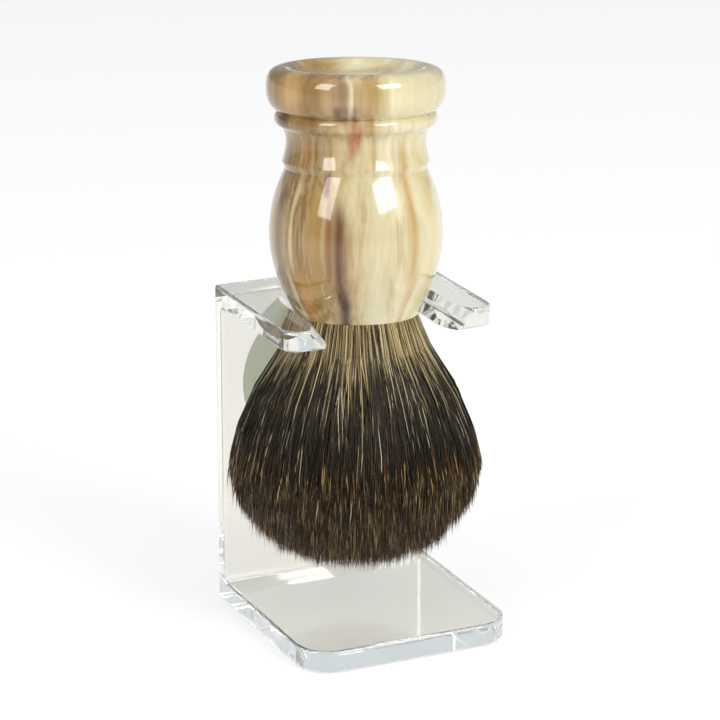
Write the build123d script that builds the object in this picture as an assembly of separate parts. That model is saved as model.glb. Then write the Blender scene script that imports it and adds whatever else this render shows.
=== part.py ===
"""Shaving brush hanging knot-down in a clear drip stand.

Frame: millimetres, +Z up, X across the stand, the fork's mouth and the front of the base toward -Y.
The origin is the centre of the base's underside.  The pieces of the brush are drawn upright on the
brush's own axis, with the handle's lower rim at zero, and are then leaned and seated in the fork.
"""
from build123d import *
from math import radians, sin, tan
import os

# ---- stand: one clear moulding ----
stand_width = 49.2
stand_depth = 51.0
stand_height = 73.7
base_thickness = 5.0
plate_thickness = 4.0
fork_thickness = 4.5
fork_reach = 40.0             # from the plate's rear face to the fork's tips
front_corner_radius = 8.0     # front corners of the base, seen from above
tip_corner_radius = 4.0       # outer corners of the fork's tips
edge_radius = 0.7             # softened outer edges
root_fillet = 1.2             # inner corners where the plate meets the base and the fork

# ---- seat: the slanted U slot that the handle's lower end rests in ----
seat_clearance = 0.4
rim_height_in_slot = 0.5      # from the fork's underside up to the handle's rim
seat_centre_y = 4.5
slot_flare = 38.0             # slant of the slot's wall, in degrees from the vertical
mouth_length = 7.0            # stretch behind the tips over which the slot opens out
mouth_spread = 3.0            # how far each side has opened out at the tips

# ---- lean of the brush, whose bloom presses against the plate, in degrees ----
lean_back = 5.5
lean_side = 2.5

# ---- handle: turned resin, heights measured up its axis from the lower rim ----
rim_radius = 13.2
rim_round = 0.4
land_height = 4.0             # length of the cone that sits in the slot
land_half_angle = 26.0
barrel_radius = 18.8
barrel_height = 18.3
waist_radius = 15.3
waist_height = 32.4
flare_radius = 15.9
flare_height = 33.9
neck_radius = 15.1
neck_height = 38.1
ring_radius = 17.6
ring_height = 43.2
ring_half_height = 1.5
ring_crown = 0.8              # how far the ring's outline stands out between its two edges
groove_radius = 16.9
bead_radius = 19.3
bead_height = 49.6
crown_radius = 15.6
handle_height = 54.2
dish_radius = 13.4
dish_depth = 2.6

# ---- hair knot, and what holds it in the handle's socket ----
knot_root_radius = 11.4
knot_loft = 54.5
shoulder_radius = 20.9
shoulder_drop = 15.0
bloom_radius = 27.0
bloom_drop = 31.0
plate_clearance = 0.4         # from the flattened side of the bloom to the plate
socket_depth = 13.0
socket_clearance = 0.4
glue_bed_thickness = 1.2
plug_thickness = 5.0
thread_diameter = 0.5
thread_turns = 5
thread_pitch = 0.55
thread_clearance = 0.05       # from the hair roots to the turns wound round them
thread_from_plug = 1.2        # from the plug to the first turn

# ---- round label on the rear of the plate ----
label_radius = 18.6
label_thickness = 0.25
label_height = 50.0

# ---- places that follow from the sizes above ----
plate_rear_y = stand_depth / 2
plate_front_y = plate_rear_y - plate_thickness
fork_tip_y = plate_rear_y - fork_reach
fork_under_z = stand_height - fork_thickness
rim_z = fork_under_z + rim_height_in_slot
land_slope = tan(radians(land_half_angle))
slot_half_width = rim_radius + seat_clearance
slot_slope = tan(radians(slot_flare))
socket_radius = knot_root_radius + socket_clearance
plug_top = socket_depth - glue_bed_thickness
plug_bottom = plug_top - plug_thickness
overcut = 1.0                 # how far a cutting shape runs past the face that it opens
tiny = 1e-3


def turned(*edges):
    """Turn a closed outline, drawn in the XZ plane, about the brush's own axis."""
    return revolve(make_face(Wire(list(edges))), Axis.Z)


def at(radius, height):
    """A point of an outline in the XZ plane."""
    return Vector(radius, 0, height)


def seated(shape):
    """Lean a piece of the brush and carry it to its seat in the fork.

    A level plane at the rim's height cuts the leaned land in a ring that lies a little off the
    brush's axis, so the axis is set back by that much and the ring is centred in the slot.
    """
    offset = rim_radius * land_slope
    foot_x = -offset * sin(radians(lean_side))
    foot_y = seat_centre_y - offset * sin(radians(lean_back))
    return Pos(foot_x, foot_y, rim_z) * Rotation(-lean_back, lean_side, 0) * shape


def slot_outline(z, spread):
    """The U slot seen from above at one height, opened by a spread on every wall."""
    half = slot_half_width + spread
    front = fork_tip_y - overcut
    tip_half = half + mouth_spread * (mouth_length + overcut) / mouth_length
    straight = fork_tip_y + mouth_length
    left_tip, left_turn = Vector(-tip_half, front, z), Vector(-half, straight, z)
    right_tip, right_turn = Vector(tip_half, front, z), Vector(half, straight, z)
    left_end, right_end = Vector(-half, seat_centre_y, z), Vector(half, seat_centre_y, z)
    back = Vector(0, seat_centre_y + half, z)
    return make_face(Wire([
        Spline(left_tip, left_turn, tangents=[(0.6, 1, 0), (0, 1, 0)]),
        Line(left_turn, left_end),
        ThreePointArc(left_end, back, right_end),
        Line(right_end, right_turn),
        Spline(right_turn, right_tip, tangents=[(0, -1, 0), (0.6, -1, 0)]),
        Line(right_tip, left_tip),
    ]))


def fork_slot():
    """The slanted slot, carried a little past both faces of the fork."""
    low_z, high_z = fork_under_z - overcut, stand_height + overcut
    low = slot_outline(low_z, (low_z - rim_z) * slot_slope)
    high = slot_outline(high_z, (high_z - rim_z) * slot_slope)
    return loft([low, high])


def side_outline():
    """The stand seen from the side: base, plate and fork in one C-shaped outline."""
    front = -stand_depth / 2
    corners = [
        (front, 0), (plate_rear_y, 0), (plate_rear_y, stand_height), (fork_tip_y, stand_height),
        (fork_tip_y, fork_under_z), (plate_front_y, fork_under_z), (plate_front_y, base_thickness),
        (front, base_thickness),
    ]
    return make_face(Polyline([Vector(-stand_width / 2, y, z) for y, z in corners], close=True))


def upright_corners(body, y):
    """The vertical edges of a body that stand at one depth."""
    return [e for e in body.edges().filter_by(Axis.Z) if abs(e.center().Y - y) < tiny]


def inner_corners(body):
    """The edges across the stand where the plate meets the base and the fork."""
    return [e for e in body.edges().filter_by(Axis.X) if abs(e.center().Y - plate_front_y) < tiny]


def is_sharp(edge):
    """Tell an edge of the stand that is still sharp from a seam of one of its rounded corners."""
    middle = edge.center()
    corner_seam = abs(edge.tangent_at(0.5).Z) > 1 - tiny and middle.Y < plate_front_y - tiny
    across = abs(middle.X) < tiny and abs(edge.tangent_at(0.5).X) > 1 - tiny
    root_seam = across and plate_front_y - root_fillet - tiny < middle.Y < plate_front_y + tiny
    return not corner_seam and not root_seam


def make_stand():
    """The clear moulding: a base, an upright plate and a forked shelf, in one piece."""
    body = extrude(side_outline(), stand_width, dir=(1, 0, 0))
    body = fillet(upright_corners(body, -stand_depth / 2), front_corner_radius)
    body = fillet(upright_corners(body, fork_tip_y), tip_corner_radius)
    body = fillet(inner_corners(body), root_fillet)
    body = fillet([e for e in body.edges() if is_sharp(e)], edge_radius)
    return body - fork_slot()


def make_handle():
    """The turned handle, with a shallow dish in its crown and a blind socket for the knot."""
    land_top_radius = rim_radius + land_height * land_slope
    floor = handle_height - dish_depth
    socket = [
        Line(at(0, floor), at(0, socket_depth)),
        Line(at(0, socket_depth), at(socket_radius, socket_depth)),
        Line(at(socket_radius, socket_depth), at(socket_radius, 0)),
        Line(at(socket_radius, 0), at(rim_radius - rim_round, 0)),
    ]
    lower = [
        Line(at(rim_radius - rim_round, 0), at(rim_radius + rim_round * land_slope, rim_round)),
        Line(at(rim_radius + rim_round * land_slope, rim_round), at(land_top_radius, land_height)),
        Spline(at(land_top_radius, land_height), at(barrel_radius, barrel_height),
               at(waist_radius, waist_height), tangents=[(land_slope, 0, 1), (0, 0, 1), (-0.5, 0, 1)]),
    ]
    ring_foot = at(ring_radius - ring_crown, ring_height - ring_half_height)
    groove = at(groove_radius, ring_height + ring_half_height)
    middle = [
        Line(at(waist_radius, waist_height), at(flare_radius, flare_height)),
        Spline(at(flare_radius, flare_height), at(neck_radius, neck_height), ring_foot,
               tangents=[(-0.25, 0, 1), (0, 0, 1), (1, 0, 0.5)]),
        ThreePointArc(ring_foot, at(ring_radius, ring_height), groove),
    ]
    crown = [
        Spline(groove, at(bead_radius, bead_height), at(crown_radius, handle_height),
               tangents=[(1, 0, 0.6), (0, 0, 1), (-1, 0, 0)]),
        Spline(at(crown_radius, handle_height), at(dish_radius, handle_height - dish_depth / 3), at(0, floor),
               tangents=[(-1, 0, 0), (-1, 0, -0.9), (-1, 0, 0)]),
    ]
    return turned(*socket, *lower, *middle, *crown)


def make_knot():
    """The bundle of hair: a straight root inside the binding, then a bloom down to a domed tip."""
    root_top = plug_bottom
    body = turned(
        Line(at(0, root_top), at(knot_root_radius - thread_diameter, root_top)),
        Line(at(knot_root_radius - thread_diameter, root_top), at(knot_root_radius - thread_diameter, 0)),
        Spline(at(knot_root_radius - thread_diameter, 0), at(shoulder_radius, -shoulder_drop),
               at(bloom_radius, -bloom_drop), at(0, -knot_loft),
               tangents=[(0.35, 0, -1), (0.55, 0, -1), (0, 0, -1), (-1, 0, 0)]),
        Line(at(0, -knot_loft), at(0, root_top)),
    )
    wall = Pos(0, plate_front_y - plate_clearance + bloom_radius, stand_height / 2)
    return seated(body) - wall * Box(4 * bloom_radius, 2 * bloom_radius, 3 * stand_height)


def make_plug():
    """The cast disc of cured resin that joins the hair roots."""
    height = plug_top - plug_bottom
    return seated(Pos(0, 0, plug_bottom + height / 2) * Cylinder(knot_root_radius, height))


def make_glue_bed():
    """The adhesive between the plug and the bottom of the socket."""
    return seated(Pos(0, 0, plug_top + glue_bed_thickness / 2) * Cylinder(socket_radius, glue_bed_thickness))


def make_thread():
    """The turns of binding thread wound round the hair roots, just below the plug."""
    radius = knot_root_radius - thread_diameter / 2 + thread_clearance
    first = plug_bottom - thread_from_plug
    one_turn = Torus(radius, thread_diameter / 2)
    turns = [Pos(0, 0, first - i * thread_pitch) * one_turn for i in range(thread_turns)]
    return seated(Compound(turns))


def make_label():
    """The round label stuck on the rear of the plate."""
    disc = Cylinder(label_radius, label_thickness)
    return Pos(0, plate_rear_y + label_thickness / 2, label_height) * Rotation(90, 0, 0) * disc


PARTS = {
    "stand": make_stand,
    "round_label": make_label,
    "handle": lambda: seated(make_handle()),
    "hair_knot": make_knot,
    "knot_plug": make_plug,
    "binding_thread": make_thread,
    "socket_adhesive": make_glue_bed,
}

os.makedirs("parts", exist_ok=True)
for name, make in PARTS.items():
    export_step(make(), f"parts/{name}.step")
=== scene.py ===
"""Looks of a shaving brush that hangs knot-down in a clear drip stand.

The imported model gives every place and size.  Lengths here are in metres, in the model's own frame:
+Z up, X across the stand, -Y towards the fork's open mouth.
"""

import logging
import math
from dataclasses import dataclass, field
from enum import Enum
from typing import Optional, Sequence

import bmesh
import bpy
import numpy as np
from mathutils import Matrix, Vector


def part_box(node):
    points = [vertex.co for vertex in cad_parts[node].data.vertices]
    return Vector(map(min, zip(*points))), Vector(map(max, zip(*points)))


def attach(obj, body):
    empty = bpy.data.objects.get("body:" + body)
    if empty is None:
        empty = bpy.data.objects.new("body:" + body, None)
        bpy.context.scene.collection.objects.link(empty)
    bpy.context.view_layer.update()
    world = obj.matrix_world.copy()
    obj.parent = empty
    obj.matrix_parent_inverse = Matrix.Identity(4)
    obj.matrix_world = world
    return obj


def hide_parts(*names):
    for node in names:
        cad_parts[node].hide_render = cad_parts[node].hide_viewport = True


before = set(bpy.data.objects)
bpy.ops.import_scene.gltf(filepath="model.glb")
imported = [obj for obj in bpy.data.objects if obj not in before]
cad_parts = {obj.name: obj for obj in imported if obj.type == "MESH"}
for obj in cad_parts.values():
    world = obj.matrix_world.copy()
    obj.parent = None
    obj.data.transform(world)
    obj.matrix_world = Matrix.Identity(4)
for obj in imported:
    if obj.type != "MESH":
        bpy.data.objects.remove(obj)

LOG = logging.getLogger("shaving_brush")
MM = 0.001
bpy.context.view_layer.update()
PLATE_THICKNESS = 4.0 * MM
BUMP_DEPTH = 0.0002

Colour = tuple[float, float, float, float]


class Body(Enum):
    """The two bodies that move apart."""

    STAND = "stand"
    BRUSH = "brush"


class Slot(Enum):
    """The record's material slots."""

    ACRYLIC = "clear_acrylic"
    LABEL = "label_film"
    HORN = "horn_resin"
    HAIR = "badger_hair"
    PLUG = "cast_resin"
    THREAD = "thread"
    GLUE = "adhesive"


def srgb(red: int, green: int, blue: int) -> Colour:
    """Give the linear colour of a screen colour.

    Args:
        red, green, blue: the screen colour, each from 0 to 255.

    Returns:
        The linear colour, with an alpha of 1.
    """
    channels = [c / 255 for c in (red, green, blue)]
    linear = [c / 12.92 if c <= 0.04045 else ((c + 0.055) / 1.055) ** 2.4 for c in channels]
    return (linear[0], linear[1], linear[2], 1.0)


class Graph:
    """A node tree under construction: a short way to add nodes and join them."""

    def __init__(self, tree: bpy.types.NodeTree) -> None:
        """Keep the tree that the nodes go into."""
        self.tree = tree

    def add(self, kind: str, inputs: Optional[dict] = None, **settings: object) -> bpy.types.Node:
        """Add a node.

        Args:
            kind: the node's type, without the ShaderNode prefix.
            inputs: socket name or number to a value, or to an output socket to link from.
            settings: the node's own properties.

        Returns:
            The new node.
        """
        node = self.tree.nodes.new(kind if kind.startswith("Node") else "ShaderNode" + kind)
        for name, value in settings.items():
            setattr(node, name, value)
        self.fill(node, inputs or {})
        return node

    def fill(self, node: bpy.types.Node, inputs: dict) -> None:
        """Set a node's inputs.

        Args:
            node: the node.
            inputs: socket name or number to a value, or to an output socket to link from.
        """
        for name, value in inputs.items():
            if isinstance(value, bpy.types.NodeSocket):
                self.tree.links.new(value, node.inputs[name])
            else:
                node.inputs[name].default_value = value

    def maths(self, operation: str, *values: object, clamp: bool = False) -> bpy.types.NodeSocket:
        """Add a Math node on one to three values or sockets and return its output."""
        node = self.add("Math", dict(enumerate(values)), operation=operation, use_clamp=clamp)
        return node.outputs[0]

    def smooth(self, value: bpy.types.NodeSocket, low: object, high: object) -> bpy.types.NodeSocket:
        """Add a smooth step.

        Args:
            value: what is compared.
            low: where the step is 0.
            high: where the step is 1.

        Returns:
            The step's output socket.
        """
        inputs = {"Value": value, "From Min": low, "From Max": high}
        node = self.add("MapRange", inputs, interpolation_type="SMOOTHSTEP")
        return node.outputs[0]

    def mix(self, factor: object, first: object, second: object) -> bpy.types.NodeSocket:
        """Mix two colours or colour sockets and return the colour output."""
        node = self.add("Mix", {0: factor, 6: first, 7: second}, data_type="RGBA")
        return node.outputs[2]

    def noise(self, vector: object, scale: float, detail: float, **inputs: float) -> bpy.types.NodeSocket:
        """Add a noise texture and return its value."""
        values = {"Vector": vector, "Scale": scale, "Detail": detail, **inputs}
        return self.add("TexNoise", values).outputs["Fac"]

    def stretch(self, vector: object, along: float) -> bpy.types.NodeSocket:
        """Shrink coordinates along Z, which draws a pattern out along Z, and return them."""
        return self.add("Mapping", {"Vector": vector, "Scale": (1.0, 1.0, along)}).outputs["Vector"]

    def bump(self, shader: bpy.types.Node, height: object, strength: float) -> None:
        """Give a shader a fine bump from a height."""
        values = {"Height": height, "Strength": strength, "Distance": BUMP_DEPTH}
        self.fill(shader, {"Normal": self.add("Bump", values).outputs["Normal"]})

    def ramp(self, factor: bpy.types.NodeSocket,
             stops: Sequence[tuple[float, Colour]]) -> bpy.types.NodeSocket:
        """Add a colour ramp.

        Args:
            factor: the place along the ramp.
            stops: each stop's place and colour.

        Returns:
            The ramp's colour output.
        """
        node = self.add("ValToRGB", {"Fac": factor})
        elements = node.color_ramp.elements
        while len(elements) < len(stops):
            elements.new(1.0)
        for element, (place, colour) in zip(elements, stops):
            element.position = place
            element.color = colour
        return node.outputs["Color"]


def new_material(name: str) -> tuple[bpy.types.Material, Graph, bpy.types.Node]:
    """Start a node material.

    Args:
        name: the material's name.

    Returns:
        The material, its graph and its Principled BSDF node.
    """
    material = bpy.data.materials.new(name)
    material.use_nodes = True
    graph = Graph(material.node_tree)
    return material, graph, material.node_tree.nodes["Principled BSDF"]


def add_polish(graph: Graph, shader: bpy.types.Node, vector: bpy.types.NodeSocket, smoothest: float,
               roughest: float) -> bpy.types.Node:
    """Give a finish an uneven polish.

    Args:
        graph: the material's graph.
        shader: its Principled BSDF node.
        vector: the coordinates that the polish varies over.
        smoothest, roughest: the least and the greatest roughness.

    Returns:
        The polish group's node, whose height can feed a bump.
    """
    values = {"Vector": vector, "Smoothest": smoothest, "Roughest": roughest}
    polish = graph.add("Group", values, node_tree=GroupBook.grain())
    graph.fill(shader, {"Roughness": polish.outputs["Roughness"]})
    return polish


def brush_coordinates(graph: Graph, axis: "BrushAxis") -> bpy.types.NodeSocket:
    """Add nodes that turn object coordinates into the upright brush's frame.

    Args:
        graph: the material's graph.
        axis: the brush's axis.

    Returns:
        The vector socket, with its height measured up from the handle's lower rim.
    """
    upright = axis.place().inverted()
    mapping = graph.add("Mapping", {"Vector": graph.add("TexCoord").outputs["Object"]})
    mapping.inputs["Location"].default_value = upright.to_translation()
    mapping.inputs["Rotation"].default_value = upright.to_euler()
    return mapping.outputs["Vector"]


class GroupBook:
    """The shader node groups that several finishes share, each made once."""

    @staticmethod
    def _start(name: str, inputs: dict[str, tuple[str, object]], outputs: dict[str, str]) -> Graph:
        """Start a group with its named sockets.

        Args:
            name: the group's name.
            inputs: each input's name to its kind and its starting value.
            outputs: each output's name to its kind.

        Returns:
            The graph of the new group.
        """
        tree = bpy.data.node_groups.new(name, "ShaderNodeTree")
        for label, (kind, value) in inputs.items():
            socket = tree.interface.new_socket(label, in_out="INPUT", socket_type="NodeSocket" + kind)
            if value is not None:
                socket.default_value = value
        for label, kind in outputs.items():
            tree.interface.new_socket(label, in_out="OUTPUT", socket_type="NodeSocket" + kind)
        return Graph(tree)

    @classmethod
    def grain(cls) -> bpy.types.NodeTree:
        """Make the uneven polish: a fine and a broad noise that vary a roughness and give a height.

        Returns:
            The group, made the first time it is asked for.
        """
        if "polish_grain" in bpy.data.node_groups:
            return bpy.data.node_groups["polish_grain"]
        inputs = {"Vector": ("Vector", None), "Fine Scale": ("Float", 900.0), "Broad Scale": ("Float", 70.0),
                  "Smoothest": ("Float", 0.05), "Roughest": ("Float", 0.15)}
        graph = cls._start("polish_grain", inputs, {"Roughness": "Float", "Height": "Float"})
        start = graph.add("NodeGroupInput").outputs
        fine = graph.noise(start["Vector"], start["Fine Scale"], 3.0)
        broad = graph.noise(start["Vector"], start["Broad Scale"], 2.0)
        level = graph.smooth(graph.maths("MULTIPLY", fine, broad), 0.12, 0.42)
        limits = {"Value": level, "To Min": start["Smoothest"], "To Max": start["Roughest"]}
        rough = graph.add("MapRange", limits).outputs[0]
        graph.add("NodeGroupOutput", {"Roughness": rough, "Height": fine})
        return graph.tree

    @classmethod
    def vein(cls) -> bpy.types.NodeTree:
        """Make one lengthwise vein of cast resin: a mask about an angle, between two heights.

        Returns:
            The group, made the first time it is asked for.
        """
        if "resin_vein" in bpy.data.node_groups:
            return bpy.data.node_groups["resin_vein"]
        defaults = {"Angle": 0.0, "Height": 0.0, "Wander": 0.0, "Centre": 0.0, "Width": 0.1, "Low": 0.0,
                    "High": 0.05, "Fade": 0.004, "Strength": 1.0}
        inputs = {label: ("Float", value) for label, value in defaults.items()}
        graph = cls._start("resin_vein", inputs, {"Mask": "Float"})
        start = graph.add("NodeGroupInput").outputs
        low, high, fade = start["Low"], start["High"], start["Fade"]
        off = graph.maths("SUBTRACT", start["Angle"], start["Centre"])
        off = graph.maths("ADD", off, start["Wander"])
        wrapped = graph.maths("WRAP", off, math.pi, -math.pi)
        near = graph.smooth(graph.maths("ABSOLUTE", wrapped), start["Width"], 0.0)
        height = start["Height"]
        rise = graph.smooth(height, graph.maths("SUBTRACT", low, fade), graph.maths("ADD", low, fade))
        fall = graph.smooth(height, graph.maths("ADD", high, fade), graph.maths("SUBTRACT", high, fade))
        span = graph.maths("MULTIPLY", rise, fall)
        mask = graph.maths("MULTIPLY", graph.maths("MULTIPLY", near, span), start["Strength"], clamp=True)
        graph.add("NodeGroupOutput", {"Mask": mask})
        return graph.tree


@dataclass(frozen=True)
class Vein:
    """One coloured vein of the handle's resin.

    The angle and the half width are in degrees about the brush's axis, with the angle counted from
    the side that faces the fork's left front corner.  The two heights are in millimetres above the
    handle's lower rim, and the vein fades out over the fade's length, in millimetres, about each.
    """

    angle: float
    width: float
    low: float
    high: float
    colour: Colour
    strength: float = 1.0
    fade: float = 4.0


@dataclass(frozen=True)
class BrushAxis:
    """The brush's own axis: where it crosses the handle's lower rim, and its upward direction."""

    foot: Vector
    up: Vector
    height: float

    @classmethod
    def from_frame(cls) -> "BrushAxis":
        """Find the axis from the round pieces inside the handle and the handle's two ends.

        Returns:
            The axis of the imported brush.
        """
        low = sum(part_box("binding_thread"), Vector()) / 2
        high = sum(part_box("socket_adhesive"), Vector()) / 2
        up = (high - low).normalized()
        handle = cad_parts["handle"].data.vertices
        along = [up.dot(v.co - low) for v in handle]
        return cls(low + up * min(along), up, max(along) - min(along))

    def turn(self) -> Matrix:
        """Return the rotation that leans an upright shape onto the axis."""
        return Vector((0, 0, 1)).rotation_difference(self.up).to_matrix().to_4x4()

    def place(self) -> Matrix:
        """Return the matrix that carries an upright shape, its rim at zero, to its seat."""
        return Matrix.Translation(self.foot) @ self.turn()


@dataclass(frozen=True)
class HornResin:
    """Cast resin with the cream, tan and dark lengthwise veins of natural horn, polished."""

    facing: float = -115.0
    pale_side: float = 4.0
    dish_radii: tuple[float, float] = (0.005, 0.0125)
    calm_heights: tuple[float, float] = (0.036, 0.046)
    polish: tuple[float, float] = (0.06, 0.13)
    cloud_scale: float = 75.0
    wander_scale: float = 110.0
    wander: float = 0.26
    streak_scale: float = 210.0
    streak_strength: float = 0.34
    thread_scale: float = 720.0
    thread_strength: float = 0.25
    cream: Colour = srgb(222, 213, 178)
    olive: Colour = srgb(198, 186, 146)
    tan: Colour = srgb(170, 140, 88)
    brown: Colour = srgb(134, 102, 50)
    veins: tuple[Vein, ...] = (
        Vein(-78, 14, -2, 34, srgb(164, 146, 112), 0.7),
        Vein(-62, 8, 2, 32, srgb(112, 90, 72), 0.75),
        Vein(-46, 3.5, 12, 32, srgb(214, 194, 148), 0.8),
        Vein(-40, 9, -2, 12, srgb(200, 142, 72), 0.8),
        Vein(-52, 4, -2, 11, srgb(212, 190, 144), 0.75),
        Vein(-30, 10, 4, 31, srgb(172, 138, 80), 0.7),
        Vein(-18, 5, 10, 27, srgb(134, 88, 36), 0.9),
        Vein(-22, 5, 28.5, 32.8, srgb(96, 26, 6), 1.0, 1.0),
        Vein(42, 7, -2, 40, srgb(184, 142, 70), 0.8),
        Vein(62, 16, -2, 40, srgb(216, 196, 134), 0.65),
        Vein(14, 18, -2, 33, srgb(208, 202, 168), 0.75),
        Vein(-12, 13, -2, 26, srgb(128, 98, 60), 0.75),
        Vein(-9.5, 6.5, -2, 26, srgb(88, 40, 12), 1.0),
        Vein(-8, 7.5, -3, 8, srgb(50, 18, 6), 1.0),
        Vein(-10, 18, 46, 56, srgb(146, 112, 70), 0.8),
        Vein(42, 34, 44, 56, srgb(206, 194, 150), 0.6, 2.0),
        Vein(-3, 5, 37, 47, srgb(150, 84, 34), 0.9),
        Vein(-6, 11, 44.5, 47.8, srgb(78, 22, 8), 1.0, 1.0),
        Vein(1, 5, 38, 44, srgb(160, 86, 20), 0.9, 2.0),
        Vein(-7, 3, 45, 56, srgb(124, 92, 64), 0.85),
        Vein(-4, 2, 45, 56, srgb(226, 216, 190), 0.8),
        Vein(-45, 15, 46, 56, srgb(212, 172, 112), 0.8),
        Vein(-72, 10, 48, 54, srgb(124, 78, 44), 0.7, 2.0),
        Vein(-62, 13, 41.5, 45, srgb(84, 40, 20), 1.0, 1.2),
        Vein(-34, 9, 41.5, 48, srgb(134, 92, 48), 0.8, 1.5),
        Vein(-68, 12, 32, 39, srgb(106, 76, 46), 0.85),
        Vein(-43, 6, 34, 40, srgb(166, 112, 52), 0.8),
        Vein(128, 10, -2, 30, srgb(92, 62, 50), 0.8),
        Vein(160, 16, 5, 52, srgb(160, 118, 64), 0.7),
        Vein(-128, 9, 10, 50, srgb(112, 80, 58), 0.7),
        Vein(-158, 8, -2, 26, srgb(192, 146, 80), 0.7),
    )

    def _cloud(self, graph: Graph, vector: object, scale: float, detail: float, twist: float) -> object:
        """Add a softly twisted noise and return its value."""
        return graph.noise(vector, scale, detail, Roughness=0.55, Distortion=twist)

    def _body(self, graph: Graph, cloud: object, angle: object, outer: object) -> bpy.types.NodeSocket:
        """Colour the resin in broad lengthwise clouds, paler on one side and calmer in the dish.

        Args:
            graph: the material's graph.
            cloud: the broad noise.
            angle: the angle about the axis.
            outer: 0 in the middle of the dish and 1 outside it.

        Returns:
            The colour without its fibres and veins.
        """
        from_pale = graph.maths("SUBTRACT", angle, math.radians(self.facing + self.pale_side))
        side = graph.maths("SINE", from_pale)
        lean = graph.maths("MULTIPLY_ADD", graph.maths("MULTIPLY", side, outer), 0.22, cloud)
        lean = graph.maths("ADD", lean, graph.maths("MULTIPLY_ADD", outer, -0.1, 0.1))
        stops = [(0.26, self.brown), (0.42, self.tan), (0.56, self.olive), (0.68, self.cream),
                 (0.86, self.olive)]
        return graph.ramp(lean, stops)

    def _fibres(self, graph: Graph, body: object, local: object, streaks: object,
                height: object) -> bpy.types.NodeSocket:
        """Lay brown streaks and pale threads over the colour, fewer of them towards the crown.

        Args:
            graph: the material's graph.
            body: the colour under them.
            local: the brush's coordinates, drawn out along the fibres.
            streaks: the streaks' noise.
            height: the height above the handle's lower rim.

        Returns:
            The colour with its fibres.
        """
        threads = self._cloud(graph, local, self.thread_scale, 4.0, 0.2)
        low, high = self.calm_heights
        limits = {"Value": height, "From Min": low, "From Max": high, "To Min": 1.0, "To Max": 0.3}
        calm = graph.add("MapRange", limits).outputs[0]
        brown = graph.maths("MULTIPLY", graph.smooth(streaks, 0.50, 0.68), self.streak_strength)
        body = graph.mix(graph.maths("MULTIPLY", brown, calm), body, self.brown)
        pale = graph.maths("MULTIPLY", graph.smooth(threads, 0.42, 0.60), self.thread_strength)
        return graph.mix(graph.maths("MULTIPLY", pale, calm), body, self.cream)

    def _veined(self, graph: Graph, body: object, shared: dict, fray: object) -> bpy.types.NodeSocket:
        """Lay every vein over the colour.

        Args:
            graph: the material's graph.
            body: the colour under them.
            shared: the inputs that every vein has in common.
            fray: the mask that breaks their edges into fibres.

        Returns:
            The colour with its veins.
        """
        for vein in self.veins:
            own = {"Centre": math.radians(self.facing + vein.angle), "Width": math.radians(vein.width),
                   "Low": vein.low * MM, "High": vein.high * MM, "Fade": vein.fade * MM,
                   "Strength": vein.strength}
            node = graph.add("Group", {**own, **shared}, node_tree=GroupBook.vein())
            body = graph.mix(graph.maths("MULTIPLY", node.outputs["Mask"], fray), body, vein.colour)
        return body

    def build(self, axis: BrushAxis) -> bpy.types.Material:
        """Make the material.

        Args:
            axis: the brush's axis, along which the veins run.

        Returns:
            The finished material.
        """
        material, graph, shader = new_material(Slot.HORN.value)
        local = brush_coordinates(graph, axis)
        parts = graph.add("SeparateXYZ", {"Vector": local}).outputs
        x, y, height = parts["X"], parts["Y"], parts["Z"]
        angle = graph.maths("ARCTAN2", y, x)
        squares = graph.maths("MULTIPLY_ADD", x, x, graph.maths("MULTIPLY", y, y))
        outer = graph.smooth(graph.maths("SQRT", squares), *self.dish_radii)
        stretched = graph.stretch(local, 0.12)
        fibres = graph.stretch(local, 0.035)

        cloud = self._cloud(graph, stretched, self.cloud_scale, 5.0, 0.8)
        body = self._body(graph, cloud, angle, outer)
        streaks = self._cloud(graph, fibres, self.streak_scale, 5.0, 0.6)
        body = self._fibres(graph, body, fibres, streaks, height)
        sway = graph.maths("SUBTRACT", self._cloud(graph, stretched, self.wander_scale, 3.0, 0.0), 0.5)
        shared = {"Angle": angle, "Height": height, "Wander": graph.maths("MULTIPLY", sway, self.wander)}
        fray = graph.maths("MULTIPLY_ADD", graph.smooth(streaks, 0.25, 0.6), 0.6, 0.4)
        body = self._veined(graph, body, shared, graph.maths("MULTIPLY", fray, outer))

        polish = add_polish(graph, shader, local, *self.polish)
        graph.bump(shader, polish.outputs["Height"], 0.02)
        graph.fill(shader, {
            "Base Color": body, "IOR": 1.52, "Subsurface Weight": 0.12, "Subsurface Scale": 0.5,
            "Subsurface Radius": (0.0026, 0.0022, 0.0016), "Coat Weight": 0.35, "Coat Roughness": 0.03,
        })
        return material


@dataclass(frozen=True)
class ClearAcrylic:
    """Polished clear acrylic with a faint warm grey cast."""

    tint: Colour = srgb(241, 239, 231)
    ior: float = 1.49
    polish: tuple[float, float] = (0.01, 0.05)

    def build(self) -> bpy.types.Material:
        """Make the material.

        Returns:
            The finished material.
        """
        material, graph, shader = new_material(Slot.ACRYLIC.value)
        add_polish(graph, shader, graph.add("TexCoord").outputs["Object"], *self.polish)
        graph.fill(shader, {"Base Color": self.tint, "IOR": self.ior, "Transmission Weight": 1.0})
        return material


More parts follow.
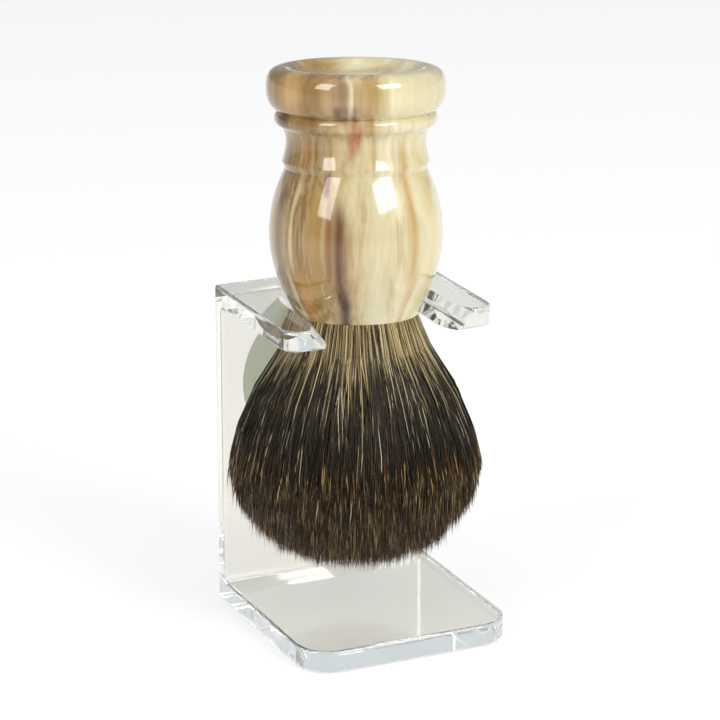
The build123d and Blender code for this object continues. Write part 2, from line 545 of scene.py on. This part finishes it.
@dataclass(frozen=True)
class LabelFilm:
    """Frosted grey-green film with a faint mottle, which lets daylight through."""

    colour: Colour = srgb(233, 237, 221)
    mottle: Colour = srgb(226, 231, 213)
    clarity: float = 0.8
    frosting: tuple[float, float] = (0.5, 0.65)

    def build(self) -> bpy.types.Material:
        """Make the material.

        Returns:
            The finished material.
        """
        material, graph, shader = new_material(Slot.LABEL.value)
        coordinates = graph.add("TexCoord").outputs["Object"]
        cloud = graph.noise(coordinates, 260.0, 6.0)
        colour = graph.mix(graph.smooth(cloud, 0.35, 0.65), self.colour, self.mottle)
        add_polish(graph, shader, coordinates, *self.frosting)
        graph.fill(shader, {"Base Color": colour, "Transmission Weight": self.clarity})
        return material


@dataclass(frozen=True)
class BadgerHair:
    """Hair that is straw-coloured at the root, nearly black in the middle and brown at the tip."""

    straw: Colour = srgb(220, 202, 152)
    honey: Colour = srgb(158, 132, 80)
    root_brown: Colour = srgb(38, 30, 22)
    black: Colour = srgb(12, 9, 6)
    umber: Colour = srgb(50, 38, 25)
    tip_dark: Colour = srgb(20, 13, 7)
    tip_brown: Colour = srgb(76, 53, 29)
    tip_gold: Colour = srgb(186, 154, 100)
    pale: Colour = srgb(200, 190, 158)
    sheen: Colour = (1.0, 0.92, 0.78, 1.0)
    straw_end: tuple[float, float] = (3.8 * MM, 9.6 * MM)
    straw_reach: float = 18.0 * MM
    gloss: tuple[float, float] = (0.30, 0.5)
    draws: int = 7

    def _root_to_middle(self, graph: Graph, draw: list, height: object) -> bpy.types.NodeSocket:
        """Colour each hair from its straw-coloured or brown root to its dark middle.

        Args:
            graph: the material's graph.
            draw: the hair's own random numbers.
            height: the height above the handle's lower rim.

        Returns:
            The colour without its tip.
        """
        root = graph.mix(draw[1], self.honey, self.straw)
        root = graph.mix(graph.smooth(draw[0], 0.43, 0.50), root, self.root_brown)
        middle = graph.mix(graph.smooth(draw[1], 0.55, 1.0), self.black, self.umber)
        spread = graph.maths("MULTIPLY", graph.maths("POWER", draw[3], 4.0), self.straw_reach)
        drop = graph.maths("SUBTRACT", graph.maths("MULTIPLY", height, -1.0), spread)
        return graph.mix(graph.smooth(drop, *self.straw_end), root, middle)

    def _tipped(self, graph: Graph, colour: object, draw: list, along: object) -> bpy.types.NodeSocket:
        """Give every hair a brown tip and some of them a golden end.

        Args:
            graph: the material's graph.
            colour: the colour above the tip.
            draw: the hair's own random numbers.
            along: how far down the hair a point is.

        Returns:
            The colour with its tip.
        """
        tip = graph.mix(graph.smooth(draw[2], 0.30, 0.62), self.tip_dark, self.tip_brown)
        start = graph.maths("MULTIPLY_ADD", draw[4], 0.26, 0.70)
        colour = graph.mix(graph.smooth(along, start, graph.maths("ADD", start, 0.07)), colour, tip)
        end = graph.maths("MULTIPLY_ADD", draw[5], 0.17, 0.80)
        golden = graph.maths("MULTIPLY", graph.smooth(draw[2], 0.83, 0.87),
                             graph.smooth(along, end, graph.maths("ADD", end, 0.04)))
        return graph.mix(graph.maths("MULTIPLY", golden, 0.9), colour, self.tip_gold)

    def _pale_stretch(self, graph: Graph, colour: object, draw: list,
                      along: object) -> bpy.types.NodeSocket:
        """Turn a stretch of some hairs pale.

        Args:
            graph: the material's graph.
            colour: the colour elsewhere.
            draw: the hair's own random numbers.
            along: how far down the hair a point is.

        Returns:
            The colour with its pale stretch.
        """
        centre = graph.maths("MULTIPLY_ADD", draw[5], 0.75, 0.2)
        half = graph.maths("MULTIPLY_ADD", draw[6], 0.16, 0.05)
        off = graph.maths("ABSOLUTE", graph.maths("SUBTRACT", along, centre))
        stretch = graph.smooth(off, half, graph.maths("MULTIPLY", half, 0.6))
        light = graph.maths("MULTIPLY", graph.smooth(draw[0], 0.83, 0.85), stretch)
        return graph.mix(graph.maths("MULTIPLY", light, 0.9), colour, self.pale)

    def build(self, axis: BrushAxis) -> bpy.types.Material:
        """Make the material.

        The hair's own UV map gives, across, a number from 0 to 1 that each hair has to itself, and,
        along, how far down the hair a point is.

        Args:
            axis: the brush's axis, down which the root's colour ends.

        Returns:
            The finished material.
        """
        material, graph, shader = new_material(Slot.HAIR.value)
        strand = graph.add("UVMap", uv_map="hair").outputs["UV"]
        place = graph.add("SeparateXYZ", {"Vector": strand}).outputs
        own, along = place["X"], place["Y"]
        height = graph.add("SeparateXYZ", {"Vector": brush_coordinates(graph, axis)}).outputs["Z"]
        seeds = [{"W": graph.maths("ADD", own, float(i))} for i in range(self.draws)]
        draw = [graph.add("TexWhiteNoise", seed, noise_dimensions="1D").outputs[0] for seed in seeds]
        colour = self._root_to_middle(graph, draw, height)
        colour = self._tipped(graph, colour, draw, along)
        colour = self._pale_stretch(graph, colour, draw, along)
        smoothest, roughest = self.gloss
        limits = {"Value": draw[1], "To Min": smoothest, "To Max": roughest}
        rough = graph.add("MapRange", limits).outputs[0]
        graph.fill(shader, {"Base Color": colour, "Roughness": rough, "IOR": 1.5,
                            "Specular IOR Level": 0.35, "Specular Tint": self.sheen})
        return material


@dataclass(frozen=True)
class PlainFinish:
    """A finish of one colour with an uneven surface, for the pieces inside the handle."""

    slot: Slot
    light: Colour
    dark: Colour
    roughness: tuple[float, float]
    scale: float

    def build(self) -> bpy.types.Material:
        """Make the material.

        Returns:
            The finished material.
        """
        material, graph, shader = new_material(self.slot.value)
        coordinates = graph.add("TexCoord").outputs["Object"]
        cloud = graph.noise(coordinates, self.scale, 5.0)
        colour = graph.mix(graph.smooth(cloud, 0.3, 0.7), self.dark, self.light)
        polish = add_polish(graph, shader, coordinates, *self.roughness)
        graph.bump(shader, polish.outputs["Height"], 0.3)
        graph.fill(shader, {"Base Color": colour})
        return material


@dataclass
class HairKnot:
    """The bundle of hair: a few locks of tapered three-sided hairs, gathered in tufts at their tips.

    Every hair starts inside the handle, flares out with its neighbours and ends on a dome.  The sways
    and waves say how far it strays from that, in and out in metres and round the axis in radians.
    """

    axis: BrushAxis
    root_radius: float = 11.1 * MM
    bloom_radius: float = 27.1 * MM
    bloom_drop: float = 31.0 * MM
    loft: float = 54.5 * MM
    root_depth: float = 5.5 * MM
    fullness: float = 2.7
    swell: tuple[float, float] = (1.62, 0.62)
    hair_radius: float = 0.122 * MM
    ring_stops: tuple[float, ...] = (0.0, 0.3, 0.55, 0.76, 0.92, 1.0)
    locks: int = 5
    hairs_per_lock: int = 6000
    tufts: int = 2000
    outer_hairs: float = 0.45
    outer_band: float = 0.12
    ragged_hairs: float = 1.05 * MM
    ragged_tufts: float = 0.95 * MM
    sway_in_out: float = 0.65 * MM
    wave_in_out: float = 0.20 * MM
    waves_in_out: float = 11.0
    sway_round: float = 0.105
    wave_round: float = 0.022
    waves_round: float = 10.0
    unruliness: float = 2.4
    tuft_pull: float = 0.68
    girth_spread: tuple[float, float] = (0.65, 1.25)
    taper: tuple[float, float] = (0.55, 0.75)
    plate_gap: float = 0.35 * MM
    plate_give: float = 1.1 * MM
    sideways: float = 0.4 * MM
    stray_limit: float = 0.5 * MM
    seed: int = 7

    def flare(self, drop: np.ndarray) -> np.ndarray:
        """Give the outermost hair's distance from the axis.

        Args:
            drop: distances below the handle's rim.

        Returns:
            The radius at each distance.
        """
        t = np.clip(drop / self.bloom_drop, 0.0, 1.25)
        first, second = self.swell
        swell = first * t - second * t**2
        return self.root_radius + (self.bloom_radius - self.root_radius) * np.where(t > 0, swell, 0.0)

    def dome(self, radius: np.ndarray) -> np.ndarray:
        """Give how far below the rim the domed end lies at each distance from the axis."""
        ratio = np.clip(radius / (self.bloom_radius * 1.01), 0.0, 0.995)
        return self.bloom_drop + (self.loft - self.bloom_drop) * (1 - ratio**self.fullness) ** 0.5

    def tip_drop(self, share: np.ndarray) -> np.ndarray:
        """Find where each hair meets the dome, by repeated halving.

        Args:
            share: each hair's place in the bundle, from 0 on the axis to 1 at the outside.

        Returns:
            Each hair's drop below the rim at its tip.
        """
        low = np.full_like(share, 0.5 * self.bloom_drop)
        high = np.full_like(share, self.loft * 1.05)
        for _ in range(30):
            middle = (low + high) / 2
            above = middle < self.dome(share * self.flare(middle))
            low = np.where(above, middle, low)
            high = np.where(above, high, middle)
        return low

    def strands(self, rng: np.random.Generator, count: int, ragged: float) -> tuple[np.ndarray, np.ndarray]:
        """Lay out hairs, or the middles of tufts, from the root to the domed end.

        Args:
            rng: the seeded source of chance.
            count: how many to lay out.
            ragged: how unevenly they end.

        Returns:
            Points of shape (count, rings, 3) in the upright brush's frame, and each one's place across
            the bundle as (count, 2).
        """
        share = np.sqrt(rng.uniform(0.0, 1.0, count))
        outer = rng.uniform(0.0, 1.0, count) < self.outer_hairs
        share = np.where(outer, 1.0 - self.outer_band * rng.uniform(0.0, 1.0, count) ** 1.4, share)
        turn = rng.uniform(0.0, 2 * math.pi, count)
        tip = self.tip_drop(share) + rng.normal(0.0, ragged, count)
        t = np.array(self.ring_stops)[None, :]
        drop = -self.root_depth + (tip[:, None] + self.root_depth) * t
        radius = share[:, None] * self.flare(drop)
        down = np.clip(drop / self.loft, 0.0, 1.2)
        stray = 1.0 + self.unruliness * rng.uniform(0.0, 1.0, (count, 1)) ** 5
        sway = rng.normal(0.0, 1.0, (count, 2)) * stray
        phase = rng.uniform(0.0, 2 * math.pi, (count, 2))
        wave = self.wave_in_out * np.sin(self.waves_in_out * down + phase[:, :1])
        radius = radius + down**1.3 * (self.sway_in_out * sway[:, :1] + wave)
        radius = np.minimum(radius, self.flare(drop) + self.stray_limit)
        wave = self.wave_round * np.sin(self.waves_round * down + phase[:, 1:])
        drift = down**0.9 * (self.sway_round * sway[:, 1:] + wave)
        angle = turn[:, None] + drift
        x, y = radius * np.cos(angle) - self.sideways * down, radius * np.sin(angle)
        places = np.stack([share * np.cos(turn), share * np.sin(turn)], axis=-1)
        return np.stack([x, y, -drop], axis=-1), places

    def paths(self, rng: np.random.Generator) -> tuple[np.ndarray, np.ndarray]:
        """Lay out one lock's hairs, drawn together into small pointed tufts towards their tips.

        Args:
            rng: the seeded source of chance.

        Returns:
            Points of shape (hairs, rings, 3) in the upright brush's frame, and each hair's girth.
        """
        hairs, places = self.strands(rng, self.hairs_per_lock, self.ragged_hairs)
        tufts, middles = self.strands(np.random.default_rng(self.seed), self.tufts, self.ragged_tufts)
        nearest = np.argmin(((places[:, None, :] - middles[None, :, :]) ** 2).sum(-1), axis=1)
        t = np.array(self.ring_stops)[None, :, None]
        pull = self.tuft_pull * t**3.2 * rng.uniform(0.2, 1.0, (self.hairs_per_lock, 1, 1))
        points = hairs + pull * (tufts[nearest] - hairs)
        girth = self.hair_radius * rng.uniform(*self.girth_spread, self.hairs_per_lock)
        return points, girth

    def press_on_plate(self, points: np.ndarray) -> np.ndarray:
        """Bend points that would pass the plate back in front of it, softly.

        Args:
            points: points in the model's frame.

        Returns:
            The bent points.
        """
        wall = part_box("stand")[1].y - PLATE_THICKNESS - self.plate_gap
        bent = points.copy()
        room = (wall - bent[..., 1]) / self.plate_give
        bent[..., 1] = wall - self.plate_give * np.logaddexp(0.0, room)
        return bent

    def hair_template(self) -> tuple[np.ndarray, np.ndarray]:
        """Make one straight three-sided hair with operators and read it back.

        Returns:
            Its corners as (ring, x, y), and its faces as corner numbers.
        """
        shape = bmesh.new()
        made = bmesh.ops.create_circle(shape, segments=3, radius=1.0)
        rim = list({e for v in made["verts"] for e in v.link_edges})
        for _ in self.ring_stops[1:]:
            grown = bmesh.ops.extrude_edge_only(shape, edges=rim)["geom"]
            moved = [g for g in grown if isinstance(g, bmesh.types.BMVert)]
            bmesh.ops.translate(shape, verts=moved, vec=(0, 0, 1))
            rim = [g for g in grown if isinstance(g, bmesh.types.BMEdge)]
        bmesh.ops.collapse(shape, edges=rim)
        bmesh.ops.holes_fill(shape, edges=[e for e in shape.edges if e.is_boundary])
        bmesh.ops.recalc_face_normals(shape, faces=shape.faces)
        bmesh.ops.triangulate(shape, faces=shape.faces)
        shape.verts.index_update()
        corners = np.array([(round(v.co.z), v.co.x, v.co.y) for v in shape.verts])
        faces = np.array([[v.index for v in f.verts] for f in shape.faces])
        shape.free()
        return corners, faces

    def sweep(self, centre: np.ndarray, girth: np.ndarray, corners: np.ndarray,
              spin: np.ndarray) -> np.ndarray:
        """Carry the straight hair's corners along every hair's path.

        Args:
            centre: each hair's path in the model's frame.
            girth: each hair's radius.
            corners: the straight hair's corners as (ring, x, y).
            spin: how far each hair is turned about itself.

        Returns:
            Corners of shape (hairs, corners, 3).
        """
        ring = corners[:, 0].astype(int)
        thin_from, tip_girth = self.taper
        taper = np.interp(np.array(self.ring_stops), (0.0, thin_from, 1.0), (1.0, 1.0, tip_girth))
        reach = girth[:, None] * taper[ring][None, :]
        x = corners[:, 1] * np.cos(spin) - corners[:, 2] * np.sin(spin)
        y = corners[:, 1] * np.sin(spin) + corners[:, 2] * np.cos(spin)
        verts = centre[:, ring, :]
        verts[..., 0] += reach * x
        verts[..., 1] += reach * y
        return verts

    def build_lock(self, number: int, material: bpy.types.Material) -> bpy.types.Object:
        """Make one lock of hairs as a mesh.

        Args:
            number: which lock it is, which sets its chance.
            material: the hair's finish.

        Returns:
            The lock's object.
        """
        rng = np.random.default_rng(self.seed + 1 + number)
        upright, girth = self.paths(rng)
        place = np.array(self.axis.place())
        centre = self.press_on_plate(upright @ place[:3, :3].T + place[:3, 3])
        corners, faces = self.hair_template()
        hairs, stride = len(girth), len(corners)
        verts = self.sweep(centre, girth, corners, rng.uniform(0.0, 2 * math.pi, hairs)[:, None])
        all_faces = (faces[None] + stride * np.arange(hairs)[:, None, None]).reshape(-1, 3)
        own = np.repeat(rng.uniform(0.0, 1.0, hairs), stride)
        along = np.array(self.ring_stops)[corners[:, 0].astype(int)]
        uv = np.stack([own, np.tile(along, hairs)], axis=-1)
        mesh = bpy.data.meshes.new(f"hair_lock_{number + 1}")
        mesh.vertices.add(verts.size // 3)
        mesh.vertices.foreach_set("co", verts.reshape(-1).astype(np.float32))
        mesh.loops.add(all_faces.size)
        mesh.loops.foreach_set("vertex_index", all_faces.reshape(-1).astype(np.int32))
        mesh.polygons.add(len(all_faces))
        mesh.polygons.foreach_set("loop_start", np.arange(0, all_faces.size, 3, dtype=np.int32))
        mesh.update(calc_edges=True)
        layer = mesh.uv_layers.new(name="hair")
        layer.data.foreach_set("uv", uv[all_faces.reshape(-1)].reshape(-1).astype(np.float32))
        mesh.polygons.foreach_set("use_smooth", np.ones(len(all_faces), dtype=bool))
        mesh.materials.append(material)
        return link(mesh)

    def build(self, material: bpy.types.Material) -> list[bpy.types.Object]:
        """Make every lock of the knot and return them."""
        return [self.build_lock(number, material) for number in range(self.locks)]


def link(mesh: bpy.types.Mesh) -> bpy.types.Object:
    """Put a mesh in the scene as an object of the same name, at the origin.

    Args:
        mesh: the finished mesh.

    Returns:
        The new object.
    """
    piece = bpy.data.objects.new(mesh.name, mesh)
    bpy.context.scene.collection.objects.link(piece)
    return piece


@dataclass
class RoundLabel:
    """The plain round label behind the plate: a thin rolled-edged disc, with a film of air before it."""

    air_film: float = 0.06 * MM
    edge_roll: float = 0.05 * MM
    segments: int = 128

    def build(self, material: bpy.types.Material) -> bpy.types.Object:
        """Make the label where the CAD disc is.

        Args:
            material: the label's finish.

        Returns:
            The label's object.
        """
        low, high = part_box("round_label")
        middle = (low + high) / 2
        thickness = high.y - low.y - self.air_film
        shape = bmesh.new()
        bmesh.ops.create_circle(shape, cap_ends=True, segments=self.segments, radius=(high.x - low.x) / 2)
        grown = bmesh.ops.extrude_face_region(shape, geom=list(shape.faces))["geom"]
        lid = [g for g in grown if isinstance(g, bmesh.types.BMVert)]
        bmesh.ops.translate(shape, verts=lid, vec=(0, 0, thickness))
        bmesh.ops.recalc_face_normals(shape, faces=shape.faces)
        edges = [e for e in shape.edges if len(e.link_faces) == 2 and e.calc_face_angle() > 1.0]
        bmesh.ops.bevel(shape, geom=edges, offset=self.edge_roll, affect="EDGES", segments=2, profile=0.5,
                        material=-1)
        stand_up = Matrix.Rotation(math.radians(-90), 4, "X")
        place = Matrix.Translation((middle.x, low.y + self.air_film, middle.z))
        bmesh.ops.transform(shape, matrix=place @ stand_up, verts=shape.verts)
        mesh = bpy.data.meshes.new("round_label_film")
        shape.to_mesh(mesh)
        shape.free()
        mesh.materials.append(material)
        return link(mesh)


def dress(node: str, material: bpy.types.Material) -> None:
    """Give a CAD node its finish.

    Args:
        node: the node's name.
        material: its finish.
    """
    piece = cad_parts[node]
    piece.data.materials.clear()
    piece.data.materials.append(material)
    LOG.info("%s: dressed in %s", node, material.name)


@dataclass(frozen=True)
class Softbox:
    """One rectangular soft light that faces the object.

    The turn is in degrees round the object from the camera, the elevation in degrees above the
    horizon, the size is its width and height, the power is in watts, and the reach is its distance.
    """

    name: str
    turn: float
    elevation: float
    size: tuple[float, float]
    power: float
    reach: float = 1.0


@dataclass
class Studio:
    """The floor, the lights and the camera."""

    azimuth: float = -24.6
    elevation: float = 18.25
    distance: float = 0.715
    aim: Vector = field(default_factory=lambda: Vector((-0.0011, 0.0, 0.0606)))
    focal_length: float = 165.0
    floor_radius: float = 6.0
    air_under_base: float = 0.2 * MM
    floor_grey: float = 0.47
    floor_glow: float = 0.62
    sky: float = 0.42
    sky_through_clear: float = 0.85
    sky_colour: Colour = (0.94, 0.975, 1.0, 1.0)
    sky_colour_through_clear: Colour = (0.82, 0.91, 1.0, 1.0)
    light_colour: tuple[float, float, float] = (1.0, 0.985, 0.96)
    softboxes: tuple[Softbox, ...] = (
        Softbox("softbox_left", -45, 33, (0.34, 0.55), 4.2),
        Softbox("softbox_right", 49, 34, (0.50, 0.40), 6.2),
        Softbox("softbox_top", 0, 82, (0.9, 0.9), 1.6, 1.2),
    )
    bounces: int = 24

    def direction(self, azimuth: float, elevation: float) -> Vector:
        """Give the direction from the object towards a place round it.

        Args:
            azimuth: the turn round the object from its front, in degrees.
            elevation: the height above the horizon, in degrees.

        Returns:
            A vector of length 1.
        """
        a, e = math.radians(azimuth), math.radians(elevation)
        return Vector((math.sin(a) * math.cos(e), -math.cos(a) * math.cos(e), math.sin(e)))

    def build_camera(self) -> None:
        """Add the camera and make it the scene's own."""
        data = bpy.data.cameras.new("camera")
        data.lens = self.focal_length
        data.sensor_width = 36.0
        data.clip_start = 0.01
        data.clip_end = 50.0
        camera = bpy.data.objects.new("camera", data)
        back = self.direction(self.azimuth, self.elevation)
        camera.location = self.aim + back * self.distance
        camera.rotation_euler = (-back).to_track_quat("-Z", "Y").to_euler()
        bpy.context.scene.collection.objects.link(camera)
        bpy.context.scene.camera = camera

    def build_softbox(self, box: Softbox) -> None:
        """Add one soft light.

        Args:
            box: where it stands, and how large and strong it is.
        """
        data = bpy.data.lights.new(box.name, "AREA")
        data.shape = "RECTANGLE"
        data.size, data.size_y = box.size
        data.energy = box.power
        data.color = self.light_colour
        light = bpy.data.objects.new(box.name, data)
        back = self.direction(self.azimuth + box.turn, box.elevation)
        light.location = self.aim + back * box.reach
        light.rotation_euler = (-back).to_track_quat("-Z", "Y").to_euler()
        bpy.context.scene.collection.objects.link(light)

    def build_floor(self) -> None:
        """Add the plain pale floor."""
        shape = bmesh.new()
        bmesh.ops.create_circle(shape, cap_ends=True, segments=64, radius=self.floor_radius)
        bmesh.ops.translate(shape, verts=shape.verts, vec=(0, 0, -self.air_under_base))
        mesh = bpy.data.meshes.new("floor")
        shape.to_mesh(mesh)
        shape.free()
        material, graph, shader = new_material("pale_floor")
        grey = (self.floor_grey, self.floor_grey, self.floor_grey, 1.0)
        graph.fill(shader, {"Base Color": grey, "Roughness": 0.6, "Specular IOR Level": 0.2,
                            "Emission Color": (1.0, 1.0, 1.0, 1.0), "Emission Strength": self.floor_glow})
        mesh.materials.append(material)
        link(mesh)

    def build_world(self) -> None:
        """Fill the surroundings with pale light, brighter and cooler where the clear stand bends it."""
        world = bpy.data.worlds.new("studio")
        world.use_nodes = True
        sky = world.node_tree.nodes["Background"]
        graph = Graph(world.node_tree)
        through = graph.add("LightPath").outputs["Is Transmission Ray"]
        colour = graph.mix(through, self.sky_colour, self.sky_colour_through_clear)
        strength = graph.maths("MULTIPLY_ADD", through, self.sky_through_clear - self.sky, self.sky)
        graph.fill(sky, {"Color": colour, "Strength": strength})
        bpy.context.scene.world = world
        bpy.context.scene.view_settings.view_transform = "Standard"

    def set_light_paths(self) -> None:
        """Let light pass often enough inside the clear stand for its edges to be bright."""
        paths = bpy.context.scene.cycles
        paths.max_bounces = self.bounces
        paths.transmission_bounces = self.bounces
        paths.glossy_bounces = self.bounces

    def build(self) -> None:
        """Set the stage."""
        self.build_camera()
        self.build_floor()
        self.build_world()
        for box in self.softboxes:
            self.build_softbox(box)
        self.set_light_paths()


INNER_FINISHES = {
    "knot_plug": PlainFinish(Slot.PLUG, srgb(206, 186, 146), srgb(178, 152, 106), (0.3, 0.5), 300.0),
    "binding_thread": PlainFinish(Slot.THREAD, srgb(228, 222, 206), srgb(196, 186, 164), (0.6, 0.8), 2400.0),
    "socket_adhesive": PlainFinish(Slot.GLUE, srgb(222, 208, 170), srgb(204, 186, 144), (0.3, 0.5), 200.0),
}


def main() -> None:
    """Build the stage and every piece."""
    logging.basicConfig(level=logging.INFO, format="%(message)s")
    axis = BrushAxis.from_frame()
    LOG.info("brush axis foot %s up %s height %.4f", axis.foot, axis.up, axis.height)
    Studio().build()
    dress("stand", ClearAcrylic().build())
    label = RoundLabel().build(LabelFilm().build())
    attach(label, Body.STAND.value)
    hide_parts("round_label")
    LOG.info("%s: %d faces", label.name, len(label.data.polygons))
    dress("handle", HornResin().build(axis))
    for node, finish in INNER_FINISHES.items():
        dress(node, finish.build())
    hair = BadgerHair().build(axis)
    locks = HairKnot(axis).build(hair)
    for lock in locks:
        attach(lock, Body.BRUSH.value)
        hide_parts("hair_knot")
        LOG.info("%s: %d triangles", lock.name, len(lock.data.polygons))


if __name__ == "__main__":
    main()
